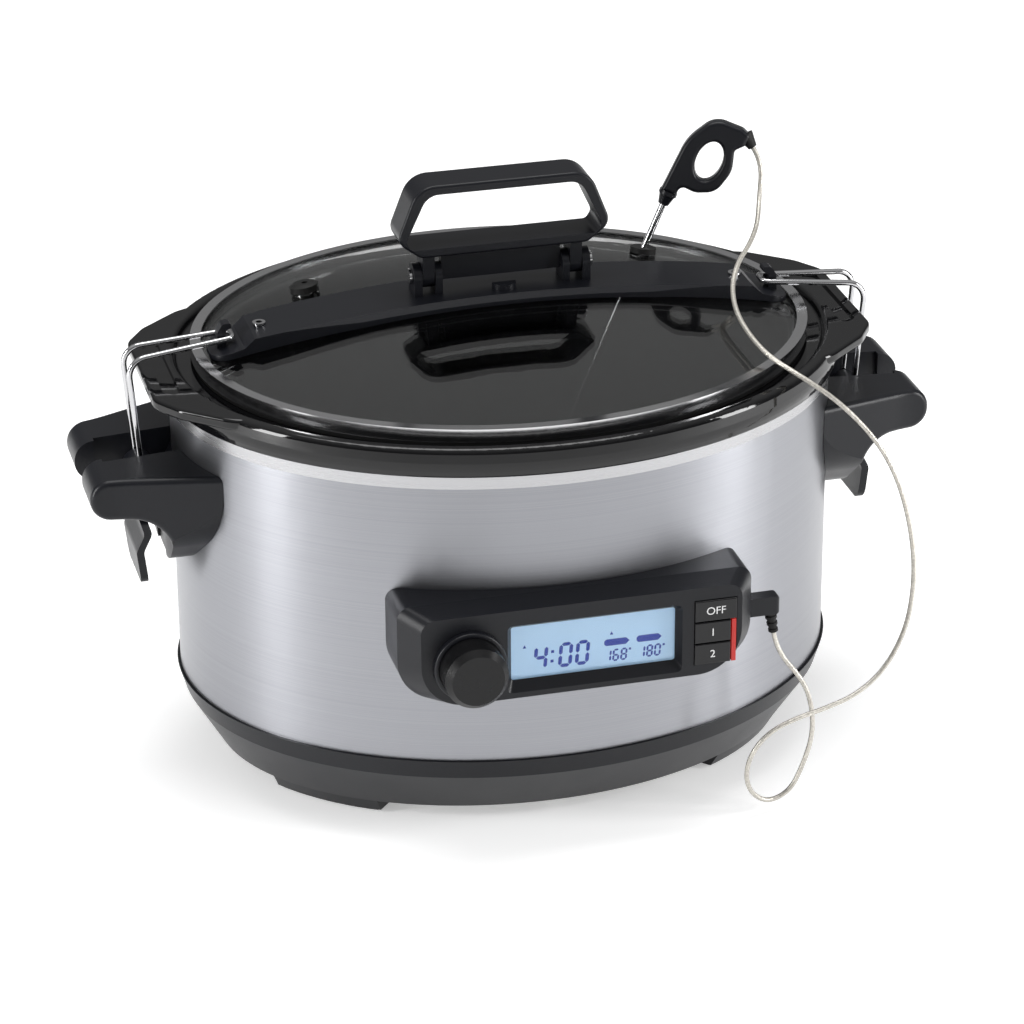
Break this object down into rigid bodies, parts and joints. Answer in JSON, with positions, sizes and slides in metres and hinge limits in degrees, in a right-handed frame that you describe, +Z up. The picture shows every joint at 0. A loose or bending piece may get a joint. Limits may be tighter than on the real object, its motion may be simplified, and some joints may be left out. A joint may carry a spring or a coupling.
{
  "type": "slow cooker",
  "caption": "Oval countertop slow cooker: brushed steel body, glazed crock, latching glass lid with folding handle, front control panel and a corded temperature probe.",
  "frame": {"origin": "middle of the object's box on the table, without the probe cord", "axes": "+X to the right handle seen from the front, -Y out of the control panel, +Z up"},
  "size_m": [0.426, 0.3106, 0.2965],
  "materials": {
    "black_plastic": "satin black moulding",
    "gloss_black": "gloss black moulding",
    "rubber": "black silicone or rubber",
    "steel": "brushed stainless steel",
    "bright_steel": "bright polished steel",
    "plated": "zinc plated steel",
    "aluminium": "drawn aluminised tub",
    "glaze": "gloss black glaze on stoneware",
    "glass": "clear tempered glass",
    "lcd": "pale blue lit display",
    "board": "green circuit board",
    "mica": "glass cloth heater band",
    "red": "red light strip",
    "cord": "braided steel lead"
  },
  "bodies": {
    "base": {"base_ring": "black_plastic", "rubber_feet": "rubber", "bottom_plate": "plated", "base_screws": "plated", "cord_gland": "black_plastic", "board_spacers": "plated", "power_board": "board", "steel_wrap": "steel", "heating_well": "aluminium", "heater_band": "mica", "pot_sensor": "plated", "thermal_fuse": "plated", "control_housing": "black_plastic", "display_window": "glass", "lcd_module": "lcd", "control_board": "board", "panel_screws": "plated", "knob_encoder": "board", "knob_ring": "black_plastic", "tact_switches": "board", "light_strip": "red", "probe_socket": "plated", "handle_left": "black_plastic", "handle_right": "black_plastic", "handle_screws": "plated", "latch_pin_left": "bright_steel", "latch_pin_right": "bright_steel", "probe_cord_lower": "cord"},
    "lid": {"lid_glass": "glass", "lid_rim": "bright_steel", "lid_gasket": "rubber", "lid_strap": "black_plastic", "strap_rivets": "bright_steel", "vent_grommet": "rubber", "probe_grommet": "rubber", "handle_hinge_pins": "bright_steel"},
    "lid_handle": {"lid_handle": "black_plastic"},
    "crock": {"crock": "glaze"},
    "latch_wire_left": {"latch_wire_left": "bright_steel"},
    "latch_wire_right": {"latch_wire_right": "bright_steel"},
    "latch_lever_left": {"latch_lever_left": "black_plastic"},
    "latch_lever_right": {"latch_lever_right": "black_plastic"},
    "knob": {"knob": "black_plastic"},
    "button_top": {"button_top": "gloss_black"},
    "button_middle": {"button_middle": "gloss_black"},
    "button_bottom": {"button_bottom": "gloss_black"},
    "probe": {"probe_rod": "bright_steel", "probe_handle": "black_plastic", "probe_boot": "rubber", "probe_cord_upper": "cord"},
    "probe_plug": {"plug_body": "black_plastic", "plug_pin": "bright_steel", "plug_boot": "rubber"}
  },
  "joints": [
    {"name": "lid_lift", "type": "slide", "parent": "base", "child": "lid", "axis": [0, 0, 1], "range_m": [0, 0.105]},
    {"name": "crock_lift", "type": "slide", "parent": "base", "child": "crock", "axis": [0, 0, 1], "range_m": [0, 0.0525]},
    {"name": "latch_wire_left_swing", "type": "hinge", "parent": "base", "child": "latch_wire_left", "pos_m": [-0.183, 0.01413, 0.1615], "axis": [0, -1, 0], "range_deg": [0, 105.1]},
    {"name": "latch_wire_right_swing", "type": "hinge", "parent": "base", "child": "latch_wire_right", "pos_m": [0.183, 0.01413, 0.1615], "axis": [0, 1, 0], "range_deg": [0, 105.1]},
    {"name": "latch_lever_left_swing", "type": "hinge", "parent": "base", "child": "latch_lever_left", "pos_m": [-0.183, 0.01413, 0.1615], "axis": [0, 1, 0], "range_deg": [0, 45]},
    {"name": "latch_lever_right_swing", "type": "hinge", "parent": "base", "child": "latch_lever_right", "pos_m": [0.183, 0.01413, 0.1615], "axis": [0, -1, 0], "range_deg": [0, 45]},
    {"name": "lid_handle_fold", "type": "hinge", "parent": "lid", "child": "lid_handle", "pos_m": [0.0372, 0.01413, 0.247], "axis": [-1, 0, 0], "range_deg": [0, 70]},
    {"name": "knob_turn", "type": "hinge", "parent": "base", "child": "knob", "pos_m": [-0.0553, -0.14587, 0.111], "axis": [0, -1, 0], "continuous": true},
    {"name": "probe_pull", "type": "slide", "parent": "lid", "child": "probe", "axis": [0.3987, 0, 0.9171], "range_m": [0, 0.125]},
    {"name": "plug_pull", "type": "slide", "parent": "base", "child": "probe_plug", "axis": [1, 0, 0], "range_m": [0, 0.014]},
    {"name": "button_top_press", "type": "slide", "parent": "base", "child": "button_top", "axis": [0, 1, 0], "range_m": [0, 0.0008], "stiffness_N_per_m": 900},
    {"name": "button_middle_press", "type": "slide", "parent": "base", "child": "button_middle", "axis": [0, 1, 0], "range_m": [0, 0.0008], "stiffness_N_per_m": 900},
    {"name": "button_bottom_press", "type": "slide", "parent": "base", "child": "button_bottom", "axis": [0, 1, 0], "range_m": [0, 0.0008], "stiffness_N_per_m": 900}
  ],
  "couplings": [
    {"joint": "crock_lift", "follows": "lid_lift", "ratio": 0.5},
    {"joint": "latch_wire_left_swing", "follows": "lid_lift", "rad_per_m": 17.453},
    {"joint": "latch_wire_right_swing", "follows": "lid_lift", "rad_per_m": 17.453}
  ]
}
